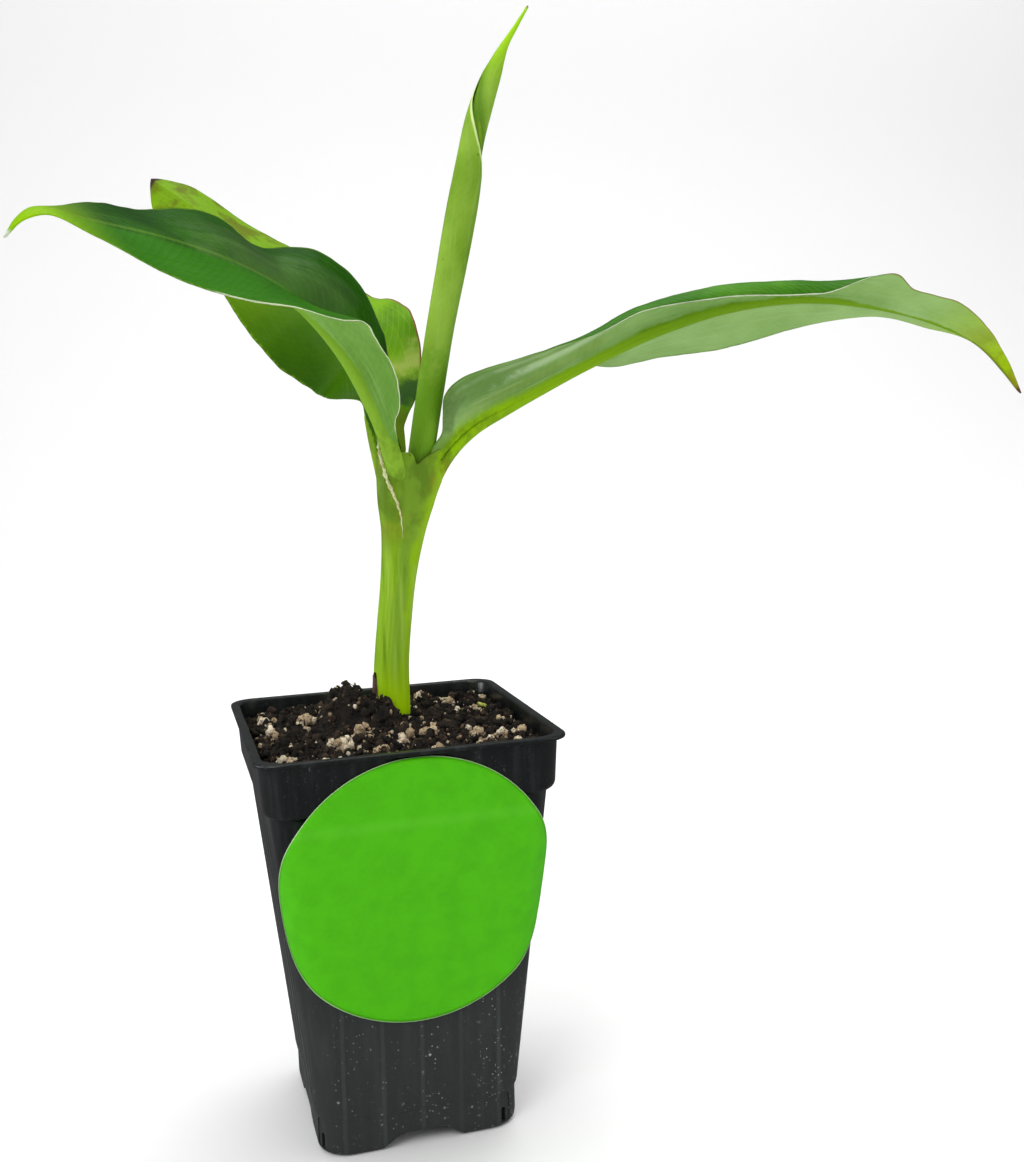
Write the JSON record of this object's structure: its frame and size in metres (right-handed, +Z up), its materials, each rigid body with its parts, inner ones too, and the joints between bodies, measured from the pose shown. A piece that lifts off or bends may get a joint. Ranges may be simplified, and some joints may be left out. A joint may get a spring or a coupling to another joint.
{
  "type": "young banana plant in a square nursery pot",
  "caption": "Young banana plant: a fleshy stem with broad arching leaves and a rolled young leaf, in a square tapering plastic nursery pot filled with potting mix.",
  "frame": {"origin": "on the ground under the middle of the pot, at the underside of its floor's centre pad", "axes": "+Z up, +X to the right and -Y towards the side of the pot that carries the round sticker"},
  "size_m": [0.3037, 0.1569, 0.3329],
  "materials": {
    "pot_plastic": "charcoal black moulded plastic, satin, with scuffs and specks of dust",
    "potting_mix": "moist dark brown crumbs with cream perlite",
    "sticker": "plain bright green coated paper with a thin pale edge",
    "stem": "smooth fleshy yellow-green leaf sheaths with fine dark specks",
    "dry_sheath": "dry brown papery sheath",
    "leaf": "satin green blade with fine side veins, paler and greyer underneath, with yellow-green tips"
  },
  "bodies": {
    "root": {"pot": "pot_plastic", "soil": "potting_mix", "sticker": "sticker", "pseudostem": "stem", "dried_sheath": "dry_sheath", "leaf_spear": "leaf", "leaf_right_base": "leaf", "leaf_right_tip": "leaf", "leaf_front_left_base": "leaf", "leaf_front_left_tip": "leaf", "leaf_back_left": "leaf"}
  },
  "joints": []
}
